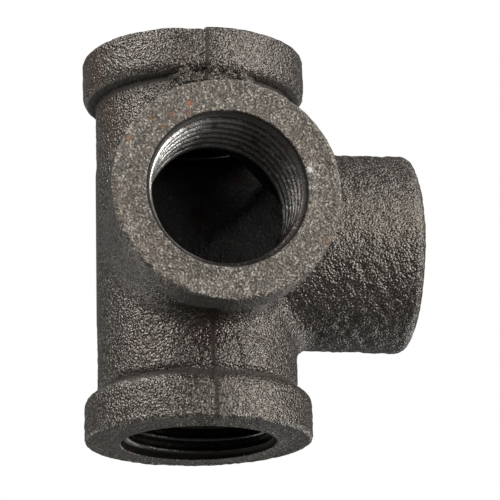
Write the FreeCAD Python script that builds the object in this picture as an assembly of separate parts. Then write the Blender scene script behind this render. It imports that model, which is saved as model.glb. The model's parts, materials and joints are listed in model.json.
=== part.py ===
"""Half-inch side-outlet pipe tee: one malleable-iron casting with four tapped openings.

The run stands upright along Z, with a banded opening at each end. One banded outlet points
forwards along -Y, and one plain outlet points along +X. The origin is the centre of the
bottom opening's face. The casting is divided into its zones, which meet face to face.
All sizes are in millimetres.
"""

import FreeCAD
import Part
import os

V = FreeCAD.Vector
UP, DOWN, FORWARD, SIDEWAYS = V(0, 0, 1), V(0, 0, -1), V(0, -1, 0), V(1, 0, 0)

# Reach of each opening's face from the point where the three axes cross.
RUN_REACH = 28.5
FRONT_REACH = 29.5
SIDE_REACH = 31.0
CENTRE = V(0, 0, RUN_REACH)

# Cast outside.
BARREL_RADIUS = 14.3
NECK_RADIUS = 14.0
SIDE_ROOT_RADIUS = 14.1
SIDE_MOUTH_RADIUS = 14.5
SIDE_MOUTH_ROUND = 1.7
RUN_BAND_RADIUS = 16.2
FRONT_BAND_RADIUS = 15.8
BAND_HEIGHT = 7.0
BAND_MOUTH_ROUND = 1.0
BAND_BACK_ROUND = 1.9
JUNCTION_FILLET = 2.2

# Cored passages, and the lip of metal at each opening that holds the thread. The lip is
# bored plain to the thread's crests and countersunk at its mouth.
PASSAGE_RADIUS = 11.0
LIP_RADIUS = 11.8
LIP_LENGTH = 12.0
THREAD_CREST_RADIUS = 9.3
MOUTH_RADIUS = 11.0
MOUTH_DEPTH = 1.2

# Where the outlets are parted from the barrel, just clear of the fillets.
PARTING = BARREL_RADIUS + JUNCTION_FILLET + 0.2

# Each opening's direction and reach, and the radius of the bands around three of them.
OPENINGS = {
    "top": (UP, RUN_REACH),
    "bottom": (DOWN, RUN_REACH),
    "front": (FORWARD, FRONT_REACH),
    "side": (SIDEWAYS, SIDE_REACH),
}
BAND_RADII = {"top": RUN_BAND_RADIUS, "bottom": RUN_BAND_RADIUS, "front": FRONT_BAND_RADIUS}


def cylinder(radius, start, end, axis):
    """A solid cylinder about an axis through the centre, from start to end along it."""
    return Part.makeCylinder(radius, end - start, CENTRE + axis * start, axis)


def rim(shape, radius, along, axis):
    """The shape's circular edges of that radius, at that distance along the axis."""
    rims = []
    for edge in shape.Edges:
        curve = edge.Curve
        if isinstance(curve, Part.Circle) and abs(curve.Radius - radius) < 1e-6:
            if abs((curve.Center - CENTRE).dot(axis) - along) < 1e-6:
                rims.append(edge)
    return rims


def junction(shape):
    """The curved edges where the outlets run into the barrel and into each other."""
    return [edge for edge in shape.Edges if not isinstance(edge.Curve, (Part.Circle, Part.Line))]


def hollow():
    """The cored passages and the room that the tapped lips take, as one shape to cut away."""
    rooms = []
    for axis, reach in OPENINGS.values():
        rooms.append(cylinder(PASSAGE_RADIUS, 0, reach, axis))
        rooms.append(cylinder(LIP_RADIUS, reach - LIP_LENGTH, reach, axis))
    return rooms[0].fuse(rooms[1:])


def cast_body():
    """The barrel, neck and side outlet in one hollow shape, with their junctions filleted."""
    half = RUN_REACH - BAND_HEIGHT
    barrel = cylinder(BARREL_RADIUS, -half, half, UP)
    neck = cylinder(NECK_RADIUS, 0, FRONT_REACH - BAND_HEIGHT, FORWARD)
    side = Part.makeCone(SIDE_ROOT_RADIUS, SIDE_MOUTH_RADIUS, SIDE_REACH, CENTRE, SIDEWAYS)
    shape = barrel.fuse([neck, side]).removeSplitter()
    mouth = rim(shape, SIDE_MOUTH_RADIUS, SIDE_REACH, SIDEWAYS)
    shape = shape.makeFillet(SIDE_MOUTH_ROUND, mouth)
    shape = shape.makeFillet(JUNCTION_FILLET, junction(shape))
    return shape.cut(hollow())


def beyond_parting(axis, reach):
    """The space past the parting plane that holds one outlet."""
    return cylinder(RUN_BAND_RADIUS, PARTING, reach, axis)


def band(radius, axis, reach):
    """The thick rounded band cast around an opening."""
    back = reach - BAND_HEIGHT
    ring = cylinder(radius, back, reach, axis)
    ring = ring.makeFillet(BAND_MOUTH_ROUND, rim(ring, radius, reach, axis))
    ring = ring.makeFillet(BAND_BACK_ROUND, rim(ring, radius, back, axis))
    return ring.cut(cylinder(LIP_RADIUS, back, reach, axis))


def tapped_lip(axis, reach):
    """The ring of metal that holds an opening's thread."""
    ring = cylinder(LIP_RADIUS, reach - LIP_LENGTH, reach, axis)
    ring = ring.cut(cylinder(THREAD_CREST_RADIUS, reach - LIP_LENGTH, reach, axis))
    start = CENTRE + axis * (reach - MOUTH_DEPTH)
    return ring.cut(Part.makeCone(THREAD_CREST_RADIUS, MOUTH_RADIUS, MOUTH_DEPTH, start, axis))


def casting_zones():
    """Every zone of the casting by name."""
    body = cast_body()
    front_space = beyond_parting(FORWARD, FRONT_REACH)
    side_space = beyond_parting(SIDEWAYS, SIDE_REACH)
    zones = {
        "centre_barrel": body.cut([front_space, side_space]),
        "front_neck": body.common(front_space),
        "side_outlet": body.common(side_space),
    }
    for name, radius in BAND_RADII.items():
        zones[name + "_band"] = band(radius, *OPENINGS[name])
    for name, (axis, reach) in OPENINGS.items():
        zones[name + "_thread"] = tapped_lip(axis, reach)
    return zones


os.makedirs("parts", exist_ok=True)
for node, shape in casting_zones().items():
    shape.exportStep("parts/" + node + ".step")
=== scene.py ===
"""A half-inch side-outlet pipe tee in black malleable iron.

The casting is built as a rough body, three thick bands and four cut threads. Everything is in
metres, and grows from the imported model: the run stands along Z, the banded front outlet points
along -Y and the plain side outlet along +X.
"""

import json
import math

import bmesh
import bpy
from mathutils import Matrix, Vector, noise


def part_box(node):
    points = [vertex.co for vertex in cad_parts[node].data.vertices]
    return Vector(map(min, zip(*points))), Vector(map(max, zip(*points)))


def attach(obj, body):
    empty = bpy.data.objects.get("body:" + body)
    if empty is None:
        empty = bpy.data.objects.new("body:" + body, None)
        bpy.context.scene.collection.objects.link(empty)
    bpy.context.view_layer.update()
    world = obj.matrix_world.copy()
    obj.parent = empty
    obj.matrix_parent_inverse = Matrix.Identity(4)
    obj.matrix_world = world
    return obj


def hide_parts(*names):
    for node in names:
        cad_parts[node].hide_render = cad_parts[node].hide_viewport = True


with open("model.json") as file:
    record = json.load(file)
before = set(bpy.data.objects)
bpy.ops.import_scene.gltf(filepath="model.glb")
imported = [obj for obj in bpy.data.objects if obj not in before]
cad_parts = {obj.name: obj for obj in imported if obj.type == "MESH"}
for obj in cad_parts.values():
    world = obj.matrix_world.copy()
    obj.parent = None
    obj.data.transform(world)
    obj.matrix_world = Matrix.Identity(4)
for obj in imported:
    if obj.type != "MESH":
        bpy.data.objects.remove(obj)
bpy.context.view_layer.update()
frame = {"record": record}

MM = 0.001
UP = Vector((0, 0, 1))
WHOLE_TURN = 2 * math.pi

# ---------------------------------------------------------------- sizes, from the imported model

mounts = {mount["name"]: mount for mount in frame["record"]["mounts"]}


def far_corner(node):
    """The highest corner of a node's box."""
    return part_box(node)[1]


RUN_LENGTH = far_corner("top_band").z
RUN_REACH = RUN_LENGTH / 2
CENTRE = Vector((0, 0, RUN_REACH))
FRONT_REACH = -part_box("front_band")[0].y
SIDE_REACH = far_corner("side_outlet").x
BARREL_RADIUS = far_corner("centre_barrel").y
SIDE_MOUTH_RADIUS = far_corner("side_outlet").y
BAND_HEIGHT = RUN_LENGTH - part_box("top_band")[0].z
BAND_RADII = {name: far_corner(name + "_band").x for name in ("top", "bottom", "front")}
LIP_LENGTH = RUN_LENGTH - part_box("top_thread")[0].z
CREST_RADIUS = mounts["top_port"]["dims"]["r_mm"] * MM

# Sizes of the casting that only show here. The body runs on into the bands by the overlap.
NECK_RADIUS = BARREL_RADIUS - 0.3 * MM
SIDE_ROOT_RADIUS = BARREL_RADIUS - 0.2 * MM
PASSAGE_RADIUS = 11.0 * MM
JUNCTION_FILLET = 2.3 * MM
SIDE_MOUTH_ROUND = 1.7 * MM
BAND_MOUTH_ROUND = 0.7 * MM
BAND_BACK_ROUND = 1.9 * MM
OVERLAP = 1.5 * MM

# The countersunk mouth of a thread, the eased edge round it, and the shallow dip that the
# band's face has just inside its rim.
MOUTH_RADIUS = 11.0 * MM
MOUTH_DEPTH = 1.1 * MM
MOUTH_SLOPE = 0.9
MOUTH_EASE = 0.2 * MM
FACE_DIP = 0.1 * MM

# The thread: 14 turns to the inch, up to just under the face. Its crests are worn back, and it
# opens towards its mouth.
PITCH = 25.4 / 14 * MM
ROOT_RADIUS = CREST_RADIUS + 1.16 * MM
CREST_WEAR = 0.2 * MM
TAPER = 0.06
THREAD_TOP = 0.06 * MM

# The parting line: how far it is from the middle at the bottom, and how it leans on its way up.
SEAM_FOOT = 0.13 * MM
SEAM_LEAN = -0.0085

# Each opening's direction and reach.
OPENINGS = {
    "top": (Vector((0, 0, 1)), RUN_REACH),
    "bottom": (Vector((0, 0, -1)), RUN_REACH),
    "front": (Vector((0, -1, 0)), FRONT_REACH),
    "side": (Vector((1, 0, 0)), SIDE_REACH),
}

# Deep gas pits under the side outlet: where each is and how wide, in millimetres.
GAS_PITS = [
    ((20.9, -7.9, 16.4), 0.75),
    ((19.3, -6.8, 15.9), 0.6),
    ((16.8, -4.3, 14.9), 0.8),
    ((24.6, -9.6, 18.0), 0.45),
]

# Rust and ochre flecks on the front face, and one pale chip in it: where each is and how wide,
# in millimetres, and its colour.
FLECKS = [
    ((-5.0, -29.5, 40.3), 0.36, (0.27, 0.088, 0.012)),
    ((-5.3, -29.5, 38.9), 0.45, (0.10, 0.035, 0.02)),
    ((-10.3, -29.5, 38.1), 0.42, (0.12, 0.075, 0.02)),
    ((-7.6, -29.5, 38.6), 0.34, (0.16, 0.06, 0.02)),
    ((-8.6, -29.5, 37.0), 0.42, (0.10, 0.06, 0.02)),
    ((-13.3, -29.5, 35.1), 0.4, (0.17, 0.06, 0.02)),
    ((-11.0, -29.5, 33.2), 0.35, (0.09, 0.035, 0.025)),
    ((13.2, -29.5, 21.5), 0.5, (0.11, 0.06, 0.03)),
    ((11.3, -29.4, 31.4), 0.25, (0.75, 0.73, 0.70)),
]

# Spacing of the meshes that carry the cast grain, and steps in one turn of a thread.
BODY_VOXEL = 0.31 * MM
BAND_STEP = 0.25 * MM
PASSAGE_VOXEL = 0.8 * MM
THREAD_STEPS = 200

# How far below the bottom face the floor lies.
FLOOR_DROP = 0.4

# The camera: its angles round the fitting, its turn about its own view and to one side, all in
# degrees, its distance, and its lens and sensor in millimetres.
CAMERA_AZIMUTH = -8.77
CAMERA_ELEVATION = -16.5
CAMERA_ROLL = -0.99
CAMERA_ASIDE = -1.117
CAMERA_DISTANCE = 401.5 * MM
CAMERA_LENS = 200.8
CAMERA_SENSOR = 36

# The softboxes: azimuth and elevation in degrees, width and height in metres, and watts.
SOFTBOX_DISTANCE = 0.6
SOFTBOXES = {
    "right_softbox": (61, -4, (0.3, 0.38), 2.35),
    "near_right_softbox": (27, 20, (0.24, 0.32), 1.4),
    "left_softbox": (-58, 20, (0.3, 0.3), 1.4),
    "high_left_softbox": (-90, 50, (0.26, 0.26), 1.8),
    "high_right_softbox": (90, 50, (0.26, 0.26), 0.86),
    "low_right_softbox": (135, -25, (0.26, 0.26), 0.55),
    "low_left_softbox": (-135, -25, (0.26, 0.26), 0.55),
}
SURROUND_GLOW = 0.145
FLOOR_GLOW = 0.5

# Colours that more than one finish or patch uses.
WHITE = (1, 1, 1, 1)
# Black for the pores, and for the painted shade in the bottom opening.
PORE_AND_SHADE_BLACK = (0.012, 0.011, 0.009)
# Black for the painted shade in the corners behind the run's bands and along the parting line.
SHADE_BLACK = (0.004, 0.0035, 0.003)


# ---------------------------------------------------------------- mesh helpers


def toward(axis):
    """The placing that stands a shape, made upwards from the crossing, along an opening."""
    turn = UP.rotation_difference(axis).to_matrix().to_4x4()
    return Matrix.Translation(CENTRE) @ turn


def smoothstep(low, high, value):
    """0 below low, 1 above high, and an even rise between."""
    t = min(max((value - low) / (high - low), 0.0), 1.0)
    return t * t * (3 - 2 * t)


def piece(name, bm):
    """A smooth-shaded object made of the mesh, which is used up."""
    mesh = bpy.data.meshes.new(name)
    bm.to_mesh(mesh)
    bm.free()
    mesh.polygons.foreach_set("use_smooth", [True] * len(mesh.polygons))
    made = bpy.data.objects.new(name, mesh)
    bpy.context.scene.collection.objects.link(made)
    return made


def settle(made, modifier_type, **settings):
    """Gives the object one modifier and makes its result the object's own mesh."""
    modifier = made.modifiers.new(modifier_type, modifier_type)
    for key, value in settings.items():
        setattr(modifier, key, value)
    graph = bpy.context.evaluated_depsgraph_get()
    result = bpy.data.meshes.new_from_object(made.evaluated_get(graph))
    made.modifiers.clear()
    made.data = result


def reworked(made, change):
    """Opens the object's mesh for a change and puts it back."""
    bm = bmesh.new()
    bm.from_mesh(made.data)
    bm.normal_update()
    change(bm)
    bm.to_mesh(made.data)
    bm.free()
    made.data.polygons.foreach_set("use_smooth", [True] * len(made.data.polygons))


def arc(centre, radius, start, end, steps):
    """Points of a round corner in a profile, from one angle to another in degrees."""
    points = []
    for i in range(steps + 1):
        angle = math.radians(start + (end - start) * i / steps)
        points.append((centre[0] + radius * math.cos(angle), centre[1] + radius * math.sin(angle)))
    return points


def spun(bm, outline, spacing):
    """Spins a closed outline of (radius, height) points once round the upward axis.

    A quarter is spun and then copied, so that the mesh is the same in each quarter.
    """
    verts = [bm.verts.new((radius, 0, height)) for radius, height in outline]
    edges = [bm.edges.new(pair) for pair in zip(verts, verts[1:] + verts[:1])]
    for edge in edges:
        cuts = int(edge.calc_length() / spacing)
        if cuts:
            bmesh.ops.subdivide_edges(bm, edges=[edge], cuts=cuts)
    widest = max(radius for radius, height in outline)
    steps = int(WHOLE_TURN * widest / spacing / 4)
    bmesh.ops.spin(
        bm,
        geom=bm.verts[:] + bm.edges[:],
        cent=(0, 0, 0),
        axis=UP,
        dvec=(0, 0, 0),
        angle=WHOLE_TURN / 4,
        steps=steps,
    )
    quarter = bm.verts[:] + bm.edges[:] + bm.faces[:]
    for turn in range(1, 4):
        copy = bmesh.ops.duplicate(bm, geom=quarter)["geom"]
        verts = [v for v in copy if isinstance(v, bmesh.types.BMVert)]
        quarter_turns = Matrix.Rotation(turn * WHOLE_TURN / 4, 3, "Z")
        bmesh.ops.rotate(bm, cent=(0, 0, 0), matrix=quarter_turns, verts=verts)
    bmesh.ops.remove_doubles(bm, verts=bm.verts, dist=spacing / 50)


# ---------------------------------------------------------------- the rough skin


def grain(point):
    """The height of the sand-cast skin, most of it a little under the true surface."""
    fine = noise.noise(point * 1700)
    coarse = noise.noise(point * 850 + Vector((7, 3, 1)))
    slow = noise.noise(point * 130)
    return (0.06 * fine + 0.07 * coarse + 0.09 * slow - 0.12) * MM


def streaks(point):
    """Slanting furrows that the sand left round the side outlet."""
    x, y, z = point
    furrow = noise.noise(Vector(((x - z) * 380, (x + z) * 950, y * 650)))
    reach = smoothstep(14 * MM, 18 * MM, x) * (1 - smoothstep(27 * MM, 30 * MM, x))
    return 0.2 * MM * (furrow - 0.15) * reach


def parting_step(point, normal):
    """The half left of the parting plane sits a little lower, with a groove at the plane.

    Both fade towards the back, and the front opening's face has neither.
    """
    if normal.y < -0.6 and point.y < -BARREL_RADIUS - 6 * MM:
        return 0.0
    across = point.x - SEAM_FOOT - SEAM_LEAN * point.z - 0.3 * MM * noise.noise(point * 220)
    near = smoothstep(-6 * MM, -1 * MM, across)
    groove = 0.14 * MM * math.exp(-((across / (0.22 * MM)) ** 2))
    height = 0.32 * MM * near * (1 - smoothstep(-0.1 * MM, 0.1 * MM, across)) + groove
    return -height * (1 - 0.8 * smoothstep(-4 * MM, 4 * MM, point.y))


def gas_pits(point):
    """The height of the pits that gas left in the skin, which is below zero."""
    depth = 0.0
    for place, width in GAS_PITS:
        away = (point - Vector(place) * MM).length / (width * MM)
        if away < 3:
            depth += 0.55 * MM * width * math.exp(-away * away * (1.3 + noise.noise(point * 1500)))
    return -depth


def mouth_calm(point):
    """How rough the skin may be: not at all at the edge of a cut thread."""
    x, y, z = point - CENTRE
    from_axes = min(math.hypot(x, y), math.hypot(x, z), math.hypot(y, z))
    return smoothstep(MOUTH_RADIUS + 0.1 * MM, MOUTH_RADIUS + 1.6 * MM, from_axes)


def roughen(bm):
    """Raises the cast skin along the surface's own normals."""
    for vert in bm.verts:
        height = grain(vert.co) + streaks(vert.co) + parting_step(vert.co, vert.normal)
        vert.co += vert.normal * (height * mouth_calm(vert.co) + gas_pits(vert.co))
    bm.normal_update()


# ---------------------------------------------------------------- the cast body


def rod(bm, radius, start, end, axis):
    """A closed cylinder from start to end along an opening's axis."""
    placing = toward(axis) @ Matrix.Translation((0, 0, (start + end) / 2))
    bmesh.ops.create_cone(
        bm,
        cap_ends=True,
        cap_tris=True,
        segments=96,
        radius1=radius,
        radius2=radius,
        depth=end - start,
        matrix=placing,
    )


def fillet(near, far, radius):
    """The distance to two surfaces joined by a round inside corner."""
    inside = math.hypot(max(radius - near, 0), max(radius - far, 0))
    return max(radius, min(near, far)) - inside


def both(near, far):
    """The distance to where two solids overlap."""
    return min(max(near, far), 0) + math.hypot(max(near, 0), max(far, 0))


def outside(point):
    """The distance of a point from the finished outside of the body.

    The fillet fades where two of the cylinders run alongside each other and need none.
    """
    x, y, z = point - CENTRE
    from_run = math.hypot(x, y)
    from_front = math.hypot(x, z)
    from_side = math.hypot(y, z)
    barrel = from_run - BARREL_RADIUS
    neck = both(from_front - NECK_RADIUS, y)
    flare = (SIDE_MOUTH_RADIUS - SIDE_ROOT_RADIUS) * x / SIDE_REACH
    across = from_side - SIDE_ROOT_RADIUS - flare
    mouth = both(across + SIDE_MOUTH_ROUND, x - SIDE_REACH + SIDE_MOUTH_ROUND) - SIDE_MOUTH_ROUND
    side = both(mouth, -x)
    tee = fillet(barrel, neck, JUNCTION_FILLET * (1 - x * x / (from_run * from_front)))
    on_neck = smoothstep(-1 * MM, 1 * MM, barrel - neck)
    beside_run = y * y / (from_run * from_side)
    beside_neck = z * z / (from_front * from_side)
    alongside = (1 - on_neck) * beside_run + on_neck * beside_neck
    return fillet(tee, side, JUNCTION_FILLET * (1 - alongside))


def between_bands(point):
    """Whether a point lies clear of the ends that are buried in the bands."""
    clear_on_run = abs(point.z - CENTRE.z) < RUN_REACH - BAND_HEIGHT + OVERLAP / 2
    clear_on_neck = -point.y < FRONT_REACH - BAND_HEIGHT + OVERLAP / 2
    return clear_on_run and clear_on_neck


def draw_to_shape(bm):
    """Moves every outside point straight onto the finished shape, which rounds the junctions."""
    probe = 0.01 * MM
    ways = [Vector((probe, 0, 0)), Vector((0, probe, 0)), Vector((0, 0, probe))]
    for step in range(3):
        for vert in bm.verts:
            if not between_bands(vert.co):
                continue
            distance = outside(vert.co)
            if abs(distance) > probe:
                slope = Vector([(outside(vert.co + way) - distance) / probe for way in ways])
                vert.co -= slope * (distance / max(slope.length_squared, 0.25))
    bmesh.ops.smooth_vert(
        bm,
        verts=bm.verts,
        factor=0.4,
        use_axis_x=True,
        use_axis_y=True,
        use_axis_z=True,
    )
    bm.normal_update()


def flash(point):
    """The height of the metal that ran into the corner under the top band, in millimetres."""
    x = point.x / MM
    below = (point.z - RUN_LENGTH + BAND_HEIGHT) / MM
    lumps = 0.85 + 1.2 * noise.noise(point * 560) + 0.7 * noise.noise(point * 1300)
    spread = smoothstep(-6.5, -3, x) * (1 - smoothstep(4, 8, x))
    height = smoothstep(-2.8, -0.6, below + 0.8 * noise.noise(point * 400))
    return 1.5 * max(lumps, 0.1) * spread * height


def pad(point):
    """The height of a raised pad low on the barrel, in millimetres."""
    x = point.x / MM
    z = point.z / MM
    ridge = smoothstep(3.4, 4.1, x + 0.28 * (z - 11)) * (1 - smoothstep(7, 10, x))
    return 0.3 * ridge * smoothstep(6.8, 7.8, z) * (1 - smoothstep(11, 13, z))


def crease(point):
    """The depth of the crease behind the bottom band, in millimetres."""
    above = (point.z - BAND_HEIGHT) / MM
    return 0.45 * math.exp(-(((above - 0.4) / 0.5) ** 2))


def dress_barrel(bm):
    """Gives the front of the barrel its flash, its pad and its crease."""
    for vert in bm.verts:
        if vert.co.y > 0 or math.hypot(vert.co.x, vert.co.y) > BARREL_RADIUS + 1.2 * MM:
            continue
        height = flash(vert.co) + pad(vert.co) - crease(vert.co)
        vert.co += vert.normal * height * MM
    bm.normal_update()


def from_passages(point):
    """The distance of a point from the middle of the nearest passage."""
    x, y, z = point - CENTRE
    return min(math.hypot(x, y), math.hypot(x, z, max(y, 0)), math.hypot(y, z, min(x, 0)))


def roughen_passage(bm):
    """The coarse skin that the sand cores left inside."""
    for vert in bm.verts:
        vert.co += vert.normal * 0.22 * MM * noise.noise(vert.co * 600)


def cast_body():
    """The barrel, neck and side outlet as one rough casting with its passages open."""
    bm = bmesh.new()
    half = RUN_REACH - BAND_HEIGHT + OVERLAP
    rod(bm, BARREL_RADIUS, -half, half, UP)
    rod(bm, NECK_RADIUS, 0, FRONT_REACH - BAND_HEIGHT + OVERLAP, OPENINGS["front"][0])
    rod(bm, SIDE_MOUTH_RADIUS, 0, SIDE_REACH, OPENINGS["side"][0])
    body = piece("cast_body", bm)
    settle(body, "REMESH", mode="VOXEL", voxel_size=BODY_VOXEL)
    reworked(body, draw_to_shape)
    reworked(body, dress_barrel)
    reworked(body, roughen)

    bm = bmesh.new()
    for axis, reach in OPENINGS.values():
        rod(bm, PASSAGE_RADIUS, 0, reach + OVERLAP, axis)
    passages = piece("passages", bm)
    settle(passages, "REMESH", mode="VOXEL", voxel_size=PASSAGE_VOXEL)
    reworked(passages, roughen_passage)
    settle(body, "BOOLEAN", object=passages, operation="DIFFERENCE", solver="EXACT")
    bpy.data.objects.remove(passages)
    return body


# ---------------------------------------------------------------- the bands


def band(name):
    """A thick band with a rounded mouth and back, rough from the mould."""
    axis, reach = OPENINGS[name]
    radius = BAND_RADII[name]
    back = reach - BAND_HEIGHT
    lip = radius - BAND_MOUTH_ROUND
    outline = [(MOUTH_RADIUS, back)]
    outline += arc((MOUTH_RADIUS + MOUTH_EASE, reach - MOUTH_EASE), MOUTH_EASE, 180, 90, 4)
    outline += [(lip - 1.2 * MM, reach - FACE_DIP), (lip - 0.4 * MM, reach)]
    outline += arc((lip, reach - BAND_MOUTH_ROUND), BAND_MOUTH_ROUND, 90, 0, 5)
    rear = (radius - BAND_BACK_ROUND, back + BAND_BACK_ROUND)
    outline += arc(rear, BAND_BACK_ROUND, 0, -90, 6)
    bm = bmesh.new()
    spun(bm, outline, BAND_STEP)
    bmesh.ops.transform(bm, matrix=toward(axis), verts=bm.verts)
    bmesh.ops.recalc_face_normals(bm, faces=bm.faces)
    roughen(bm)
    return piece(name + "_band_ring", bm)


# ---------------------------------------------------------------- the threads


def opened(radius, depth):
    """A thread's radius at a depth under the face, with its taper and its countersunk mouth."""
    tapered = radius + CREST_WEAR + TAPER * (LIP_LENGTH - depth)
    tapered = min(tapered, MOUTH_RADIUS - 0.05 * MM)
    return max(tapered, MOUTH_RADIUS - MOUTH_SLOPE * depth)


def tooth_spiral():
    """A right-hand thread down from the face, as a mesh whose face lies at height 0."""
    bm = bmesh.new()
    flat = PITCH * 0.06
    tooth = [
        (ROOT_RADIUS, 0),
        (ROOT_RADIUS, flat),
        (CREST_RADIUS, PITCH / 2 - flat),
        (CREST_RADIUS, PITCH / 2 + flat),
        (ROOT_RADIUS, PITCH - flat),
        (ROOT_RADIUS, PITCH),
    ]
    low = -LIP_LENGTH - 1.5 * PITCH
    verts = [bm.verts.new((radius, 0, low + height)) for radius, height in tooth]
    for pair in zip(verts, verts[1:]):
        bm.edges.new(pair)
    bmesh.ops.subdivide_edges(bm, edges=bm.edges[:], cuts=3)
    bmesh.ops.spin(
        bm,
        geom=bm.verts[:] + bm.edges[:],
        cent=(0, 0, 0),
        axis=UP,
        dvec=(0, 0, PITCH / THREAD_STEPS),
        angle=WHOLE_TURN,
        steps=THREAD_STEPS,
    )
    one_turn = bm.verts[:] + bm.edges[:] + bm.faces[:]
    for turn in range(1, math.ceil(LIP_LENGTH / PITCH) + 3):
        copy = bmesh.ops.duplicate(bm, geom=one_turn)["geom"]
        verts = [v for v in copy if isinstance(v, bmesh.types.BMVert)]
        bmesh.ops.translate(bm, vec=(0, 0, turn * PITCH), verts=verts)
    bmesh.ops.remove_doubles(bm, verts=bm.verts, dist=0.01 * MM)
    for height, side in ((-LIP_LENGTH, -1), (-THREAD_TOP, 1)):
        bmesh.ops.bisect_plane(
            bm,
            geom=bm.verts[:] + bm.edges[:] + bm.faces[:],
            plane_co=(0, 0, height),
            plane_no=(0, 0, side),
            clear_outer=True,
        )
    return bm


def thread(name):
    """A pipe thread cut in an opening, with a countersunk mouth and a closed back."""
    axis, reach = OPENINGS[name]
    bm = tooth_spiral()
    for vert in bm.verts:
        radius = math.hypot(vert.co.x, vert.co.y)
        nick = 0.05 * MM * noise.noise(Vector((vert.co.x * 500, vert.co.y * 500, vert.co.z * 900)))
        wanted = opened(radius + nick, -vert.co.z)
        vert.co.x *= wanted / radius
        vert.co.y *= wanted / radius
    rims = [edge for edge in bm.edges if edge.is_boundary]
    outer = bmesh.ops.extrude_edge_only(bm, edges=rims)["geom"]
    for vert in (v for v in outer if isinstance(v, bmesh.types.BMVert)):
        widening = (MOUTH_RADIUS + 0.3 * MM) / math.hypot(vert.co.x, vert.co.y)
        vert.co.x *= widening
        vert.co.y *= widening
        vert.co.z -= 0.5 * MM if vert.co.z > -1 * MM else 0
    edges = [e for e in outer if isinstance(e, bmesh.types.BMEdge) and e.is_boundary]
    bmesh.ops.bridge_loops(bm, edges=edges)
    bmesh.ops.translate(bm, vec=(0, 0, reach), verts=bm.verts)
    bmesh.ops.transform(bm, matrix=toward(axis), verts=bm.verts)
    bmesh.ops.recalc_face_normals(bm, faces=bm.faces)
    return piece(name + "_cut_thread", bm)


# ---------------------------------------------------------------- shader tools


class Socket:
    """A value in a shader. Arithmetic on it adds the Math nodes that work it out."""

    def __init__(self, finish, link):
        self.finish = finish
        self.link = link

    def maths(self, operation, first, second):
        return self.finish.node("ShaderNodeMath", {"operation": operation}, {0: first, 1: second})

    def __add__(self, other):
        return self.maths("ADD", self, other)

    def __sub__(self, other):
        return self.maths("SUBTRACT", self, other)

    def __rsub__(self, other):
        return self.maths("SUBTRACT", other, self)

    def __mul__(self, other):
        return self.maths("MULTIPLY", self, other)

    def __pow__(self, other):
        return self.maths("POWER", self, other)

    def __abs__(self):
        return self.maths("ABSOLUTE", self, 0)

    def or_more(self, other):
        """Whichever of the two is larger."""
        return self.maths("MAXIMUM", self, other)

    __radd__ = __add__
    __rmul__ = __mul__


class Finish:
    """A material for one finish, with its place on the object in millimetres."""

    def __init__(self, name):
        self.material = bpy.data.materials.new(name)
        self.material.use_nodes = True
        self.tree = self.material.node_tree
        kinds = {node.type: node for node in self.tree.nodes}
        self.shader = kinds["BSDF_PRINCIPLED"]
        place = self.node("ShaderNodeTexCoord", {}, {}, "Object")
        self.place = self.node("ShaderNodeMapping", {}, {0: place, 3: (1000, 1000, 1000)})

    def plug(self, target, value):
        """Puts a number, a colour or another node's output into a socket."""
        if isinstance(value, Socket):
            self.tree.links.new(value.link, target)
        elif isinstance(value, tuple) and target.type == "RGBA":
            target.default_value = (*value, 1)
        else:
            target.default_value = value

    def node(self, kind, settings, values, output=0):
        """Adds a node with its settings, then its sockets' values or links."""
        made = self.tree.nodes.new(kind)
        for key, value in settings.items():
            setattr(made, key, value)
        for key, value in values.items():
            self.plug(made.inputs[key], value)
        return Socket(self, made.outputs[output])

    def set(self, **values):
        """Sets the shader's sockets. Underscores in the names stand for spaces."""
        for key, value in values.items():
            self.plug(self.shader.inputs[key.replace("_", " ")], value)

    def parts(self):
        """The three coordinates of the place, in millimetres."""
        return [self.node("ShaderNodeSeparateXYZ", {}, {0: self.place}, axis) for axis in range(3)]

    def stretched(self, scale, turn=(0, 0, 0)):
        """The place, turned and scaled for a drawn-out pattern."""
        return self.node("ShaderNodeMapping", {}, {0: self.place, 2: turn, 3: scale})

    def noise(self, scale, detail=2.0, rough=0.5, place=None):
        """Smooth random cloud, from 0 to 1 about a mean of a half."""
        values = {"Vector": place or self.place, "Scale": scale}
        values.update({"Detail": detail, "Roughness": rough})
        return self.node("ShaderNodeTexNoise", {}, values)

    def cells(self, scale):
        """Distance from the middle of the nearest of many random grains."""
        return self.node("ShaderNodeTexVoronoi", {}, {"Vector": self.place, "Scale": scale})

    def between(self, value, low, high):
        """A mask that rises smoothly from 0 at low to 1 at high."""
        settings = {"interpolation_type": "SMOOTHSTEP"}
        return self.node("ShaderNodeMapRange", settings, {0: value, 1: low, 2: high})

    def blend(self, mask, under, over):
        """One colour turning into another where the mask is 1."""
        return self.node("ShaderNodeMix", {"data_type": "RGBA"}, {0: mask, 6: under, 7: over}, 2)

    def away(self, point):
        """The distance from a point, in millimetres."""
        settings = {"operation": "DISTANCE"}
        return self.node("ShaderNodeVectorMath", settings, {0: self.place, 1: point}, 1)

    def bump(self, height, depth):
        """Small relief: a height from 0 to 1 times a depth in metres."""
        return self.node("ShaderNodeBump", {}, {"Strength": 1.0, "Distance": depth, "Height": height})


# ---------------------------------------------------------------- finishes


def bare_iron(skin, clouds, light_grain):
    """Dark iron with paler grains in it, browner towards the left."""
    x = skin.parts()[0]
    tint = skin.noise(0.09, 2.0, place=skin.stretched((1, 1, 0.7)))
    brown = skin.between(tint, 0.54, 0.66) * skin.between(x, 4.0, -10.0)
    colour = skin.blend(clouds, (0.020, 0.018, 0.016), (0.040, 0.035, 0.031))
    colour = skin.blend(light_grain * 0.85, colour, (0.21, 0.184, 0.154))
    return skin.blend(brown * 0.75, colour, (0.068, 0.038, 0.024))


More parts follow.
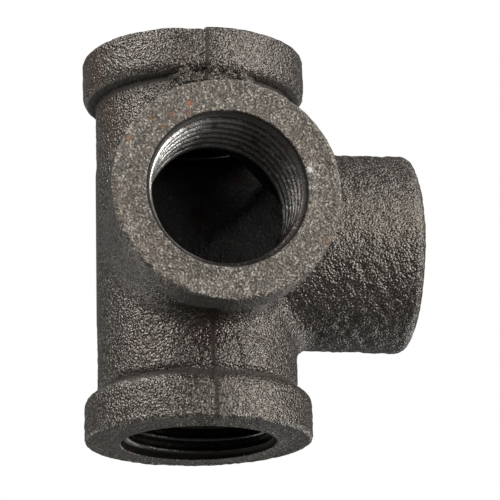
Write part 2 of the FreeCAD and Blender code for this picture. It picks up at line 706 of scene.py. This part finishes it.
def pale_dust(skin, clouds, light_grain):
    """The blotchy dust on the front and bottom faces, with a little rust in it."""
    blotch = skin.between(skin.noise(1.1, 3.0, 0.6), 0.34, 0.66)
    dust = skin.blend(blotch, (0.044, 0.039, 0.032), (0.140, 0.125, 0.105))
    dust = skin.blend(light_grain * (blotch * 0.7 + 0.15), dust, (0.58, 0.53, 0.445))
    return skin.blend(skin.between(clouds, 0.52, 0.66) * 0.3, dust, (0.12, 0.075, 0.045))


def corner_painted_shade(skin, grit):
    """Painted shade in the corners behind the run's bands, where they overhang the barrel; the upper
    corner gets it only away from the middle.
    """
    x, y, z = skin.parts()
    height = abs(z - CENTRE.z / MM)
    off_corner = abs(height - (RUN_REACH - BAND_HEIGHT) / MM)
    shade_mask = skin.between(off_corner + grit * 0.5, 1.15, 0.7)
    shade_mask = shade_mask * skin.between((x * x + y * y) ** 0.5, 15.8, 15.2)
    return shade_mask * skin.between(z - x * x, 40.0, 12.0)


def parting_line_painted_shade(skin, grit):
    """Painted shade along the parting line, down the front of the barrel and the bands, where the
    step in the skin throws its shadow.
    """
    x, y, z = skin.parts()
    wander = skin.noise(0.22, 2.0) * 0.6 - 0.3
    off_seam = abs(x - SEAM_FOOT / MM - z * SEAM_LEAN - wander)
    shade_mask = skin.between(off_seam + grit * 0.2, 0.45, 0.25) * skin.between(y, -13.0, -14.0)
    return shade_mask * skin.between(y, 5.0 - FRONT_REACH / MM, 7.0 - FRONT_REACH / MM)


def side_outlet_painted_highlight(skin, clouds):
    """A painted highlight: a pale tan band across the front of the side outlet, at mid height."""
    x, y, z = skin.parts()
    dust = skin.between(abs(z - 30.0) + clouds * 5.0, 7.5, 3.5) * skin.between(x, 14.0, 19.0)
    return dust * skin.between(y, -8.0, -11.0)


def cast_skin():
    """Black malleable iron as it left the mould: dark grit, rust and a dusty front face."""
    skin = Finish("cast_skin")
    x, y, z = skin.parts()
    grit = skin.noise(3.3, 0.7, 0.4)
    fine = skin.noise(6.5, 1.0)
    stones = skin.cells(3.0)
    clouds = skin.noise(0.16, 3.0)
    speckle = skin.noise(3.6, 0.5, 0.3, skin.stretched((1, 1, 1), (0.4, 0.9, 0.2)))
    light_grain = skin.between(speckle * 0.6 + grit * 0.4 + fine * 0.15, 0.61, 0.70)
    dark_grain = skin.between(grit * 0.7 + speckle * 0.3, 0.46, 0.38)

    # The front opening's face is lighter, with more pores on its right. The bottom one is dusty.
    face = skin.between(y + grit * 0.5, 1.0 - FRONT_REACH / MM, 0.55 - FRONT_REACH / MM)
    foot = skin.between(z - grit * 0.4, 0.7, 0.2)
    dust = pale_dust(skin, clouds, light_grain)
    pores = skin.between(grit * 0.7 + speckle * 0.3, 0.53, 0.43) * skin.between(x, -4.0, 6.0)
    colour = bare_iron(skin, clouds, light_grain)
    colour = skin.blend(face, colour, dust)
    colour = skin.blend(foot * 0.7, colour, dust)
    colour = skin.blend(dark_grain * 0.85, colour, PORE_AND_SHADE_BLACK)
    colour = skin.blend(pores * face * 0.4, colour, PORE_AND_SHADE_BLACK)

    # Painted shade in the corners behind the run's bands.
    corner_shade = corner_painted_shade(skin, grit)
    # Painted shade along the parting line.
    seam_shade = parting_line_painted_shade(skin, grit)
    # A painted highlight across the front of the side outlet.
    side_highlight = side_outlet_painted_highlight(skin, clouds) * (1 - dark_grain)
    colour = skin.blend(corner_shade * 0.95, colour, SHADE_BLACK)
    colour = skin.blend(seam_shade * 0.9, colour, SHADE_BLACK)
    colour = skin.blend(side_highlight * 0.6, colour, (0.165, 0.139, 0.108))

    # Painted shade on the underside of the front outlet, and below it a dark red stain deepened into
    # painted shade.
    underside_shade = skin.between(y, -15.0, -17.0) * skin.between(z + grit * 1.5, 17.0, 14.8) * (1 - face)
    red_stain_and_shade = skin.between(skin.away((-0.6, -14.5, 12.8)) + grit * 3.0, 5.4, 3.0)
    colour = skin.blend(underside_shade * 0.9, colour, (0.008, 0.007, 0.006))
    colour = skin.blend(red_stain_and_shade * 0.9, colour, (0.018, 0.006, 0.005))

    wobble = skin.noise(3.0, 1.0) * 0.8
    for place, width, shade in FLECKS:
        fleck = skin.between(skin.away(place) + wobble, width + 0.75, width + 0.25)
        colour = skin.blend(fleck * 0.85, colour, shade)

    # Where painted shade lies, the skin is also made rougher so that it shows no highlight.
    shade_mask = corner_shade.or_more(seam_shade).or_more(underside_shade * 0.6)
    skin.set(
        Base_Color=colour,
        Roughness=0.14 + grit * 0.18 + face * 0.27 + shade_mask * 0.5,
        IOR=1.9,
        Specular_Tint=(1.0, 0.9, 0.8),
        Normal=skin.bump(grit + fine * 0.05 - stones * 0.35, 0.23 * MM),
    )
    return skin.material


def cored_wall():
    """The black inside of the casting, with a little grit that catches the light."""
    wall = Finish("cored_wall")
    crumbs = wall.noise(2.2, 3.0, 0.6)
    grit = wall.between(crumbs, 0.55, 0.75)
    colour = wall.blend(grit, (0.030, 0.029, 0.028), (0.09, 0.085, 0.08))
    rust = wall.between(wall.noise(0.25, 2.0), 0.55, 0.68)
    wall.set(
        Base_Color=wall.blend(rust * 0.6, colour, (0.022, 0.006, 0.004)),
        Roughness=0.7 + crumbs * 0.3,
        IOR=1.25,
        Normal=wall.bump(crumbs, 0.4 * MM),
    )
    return wall.material


def front_opening_painted_light(cut, colour, tooth, smear):
    """Inside the front opening, painted shade darkens the right and the lower right, and a painted
    highlight lights the crests at the upper left.
    """
    x, y, z = cut.parts()
    z = z - CENTRE.z / MM
    front = cut.between(y, -12.0, -17.0)
    right_shade = cut.between(x * 0.95 + z * 0.3 + smear * 6.0, 6.5, 11.0)
    lower_right_shade = cut.between(x * 0.5 - z * 0.87 + smear * 2.0, 7.0, 9.5)
    upper_left_highlight = cut.between(z * 0.5 - x * 0.87 + smear * 7.0, 8.5, 14.0) * cut.between(tooth, 10.1, 9.8)
    colour = cut.blend(right_shade * front * 0.62, colour, (0.02, 0.0185, 0.017))
    colour = cut.blend(lower_right_shade * front * 0.75, colour, (0.030, 0.016, 0.013))
    return cut.blend(upper_left_highlight * front * 0.65, colour, (0.9, 0.87, 0.82))


def countersink(cut, reach, along):
    """Where a distance along an opening's axis lies in its countersunk mouth."""
    start = (reach - MOUTH_DEPTH) / MM
    return cut.between(along, start, start + 0.3)


def cut_thread():
    """Iron bared by the tap: bright crests, black roots, a dull mouth, with painted shade and a
    painted highlight inside the openings.
    """
    cut = Finish("cut_thread")
    x, y, z = cut.parts()
    z = z - CENTRE.z / MM
    smear = cut.noise(0.7, 3.0)
    scratches = cut.noise(4.0, 2.0)
    crumbs = cut.noise(2.4, 1.0)

    # Each thread lies along the axis on which its points are farthest from the crossing. The
    # taper is taken off their radius, so that crests and roots have the same tooth all along.
    level = abs(x).or_more(abs(y))
    rise = abs(z)
    along = level.or_more(rise)
    radius = (x * x + y * y + z * z - along * along) ** 0.5
    tooth = radius - (along - (FRONT_REACH - LIP_LENGTH) / MM) * TAPER
    crest = cut.between(tooth + scratches * 0.2, 10.0, 9.7)
    root = cut.between(tooth - scratches * 0.2, 9.8, 10.1)
    colour = cut.blend(smear, (0.05, 0.047, 0.044), (0.22, 0.208, 0.195))
    colour = cut.blend(crest * 0.9, colour, (0.42, 0.405, 0.38))
    colour = cut.blend(root * 0.92, colour, (0.012, 0.011, 0.010))
    colour = front_opening_painted_light(cut, colour, tooth, smear)
    colour = cut.blend(cut.between(crumbs, 0.60, 0.68) * 0.4, colour, (0.45, 0.43, 0.40))

    # The mouths are dull, painted shade darkens the bottom opening, and painted shade blackens the
    # deep turns of both of the run's threads.
    mouth = countersink(cut, FRONT_REACH, level) + countersink(cut, RUN_REACH, rise)
    low = cut.between(z, -14.0, -17.0)
    rust = cut.between(cut.noise(0.5, 2.0), 0.58, 0.68)
    deep_turn_shade = cut.between(rise, 12.5, 15.0) * cut.between(rise, 27.5, 21.0)
    colour = cut.blend(mouth * 0.8, colour, (0.050, 0.047, 0.043))
    colour = cut.blend(low * 0.7, colour, PORE_AND_SHADE_BLACK)
    colour = cut.blend(rust * 0.6, colour, (0.07, 0.022, 0.014))
    colour = cut.blend(deep_turn_shade * 0.98, colour, (0.004, 0.004, 0.004))
    cut.set(
        Base_Color=colour,
        Metallic=0.8,
        Roughness=0.2 + scratches * 0.2 + root * 0.3 + mouth * (low * 0.3 + 0.2),
        Normal=cut.bump(scratches + crumbs * 0.5, 0.07 * MM),
    )
    return cut.material


# ---------------------------------------------------------------- stage


def direction(azimuth, elevation):
    """The way from the fitting to a place round it. Azimuth 0 is straight in front."""
    a, e = math.radians(azimuth), math.radians(elevation)
    return Vector((math.sin(a) * math.cos(e), -math.cos(a) * math.cos(e), math.sin(e)))


def camera():
    """A long lens, below the fitting and a little to its left."""
    back = direction(CAMERA_AZIMUTH, CAMERA_ELEVATION)
    data = bpy.data.cameras.new("camera")
    data.sensor_width = CAMERA_SENSOR
    data.lens = CAMERA_LENS
    data.clip_start = 0.01
    data.clip_end = 20
    made = bpy.data.objects.new("camera", data)
    made.location = CENTRE + back * CAMERA_DISTANCE
    made.rotation_mode = "QUATERNION"
    aimed = back.to_track_quat("Z", "Y")
    roll = Matrix.Rotation(math.radians(CAMERA_ROLL), 3, "Z").to_quaternion()
    aside = Matrix.Rotation(math.radians(CAMERA_ASIDE), 3, "Y").to_quaternion()
    made.rotation_quaternion = aimed @ roll @ aside
    bpy.context.scene.collection.objects.link(made)
    bpy.context.scene.camera = made


def softbox(name, azimuth, elevation, size, watts):
    """A soft light aimed at the crossing."""
    back = direction(azimuth, elevation)
    data = bpy.data.lights.new(name, "AREA")
    data.shape = "RECTANGLE"
    data.size = size[0]
    data.size_y = size[1]
    data.energy = watts
    made = bpy.data.objects.new(name, data)
    made.location = CENTRE + back * SOFTBOX_DISTANCE
    made.rotation_mode = "QUATERNION"
    made.rotation_quaternion = back.to_track_quat("Z", "Y")
    made.visible_camera = False
    bpy.context.scene.collection.objects.link(made)


def surround():
    """A white backdrop, with dimmer light from all round."""
    made = bpy.data.worlds.new("surround")
    made.use_nodes = True
    tree = made.node_tree
    backdrop = tree.nodes["Background"]
    glow = tree.nodes.new("ShaderNodeBackground")
    glow.inputs["Color"].default_value = WHITE
    glow.inputs["Strength"].default_value = SURROUND_GLOW
    backdrop.inputs["Color"].default_value = WHITE
    seen = tree.nodes.new("ShaderNodeLightPath")
    both = tree.nodes.new("ShaderNodeMixShader")
    tree.links.new(seen.outputs["Is Camera Ray"], both.inputs[0])
    tree.links.new(glow.outputs[0], both.inputs[1])
    tree.links.new(backdrop.outputs[0], both.inputs[2])
    tree.links.new(both.outputs[0], tree.nodes["World Output"].inputs["Surface"])
    bpy.context.scene.world = made


def floor():
    """A plain pale floor, well below the fitting and the camera."""
    bm = bmesh.new()
    bmesh.ops.create_grid(bm, x_segments=1, y_segments=1, size=6)
    bmesh.ops.translate(bm, vec=(0, 0, -FLOOR_DROP), verts=bm.verts)
    made = piece("floor", bm)
    material = bpy.data.materials.new("pale_floor")
    material.use_nodes = True
    paint = material.node_tree.nodes["Principled BSDF"]
    paint.inputs["Base Color"].default_value = (0.8, 0.8, 0.8, 1)
    paint.inputs["Emission Color"].default_value = WHITE
    paint.inputs["Emission Strength"].default_value = FLOOR_GLOW
    made.data.materials.append(material)
    made.visible_diffuse = made.visible_glossy = False


# ---------------------------------------------------------------- assembly

skin_finish = cast_skin()
wall_finish = cored_wall()
thread_finish = cut_thread()

body = cast_body()
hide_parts("centre_barrel", "front_neck", "side_outlet")
pieces = [(body, "cast_skin", skin_finish)]
for name in ("top", "bottom", "front"):
    ring = band(name)
    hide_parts(name + "_band")
    pieces.append((ring, "cast_skin", skin_finish))
for name in OPENINGS:
    cut = thread(name)
    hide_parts(name + "_thread")
    pieces.append((cut, "cut_thread", thread_finish))
for made, slot, finish in pieces:
    made.data.materials.clear()
    made.data.materials.append(finish)
    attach(made, "root")

# The body's second finish goes on the faces inside its passages.
body.data.materials.append(wall_finish)
for face in body.data.polygons:
    face.material_index = int(from_passages(face.center) < PASSAGE_RADIUS + 0.4 * MM)

surround()
floor()
for name, (azimuth, elevation, size, watts) in SOFTBOXES.items():
    softbox(name, azimuth, elevation, size, watts)
camera()
bpy.context.scene.view_settings.view_transform = "Standard"
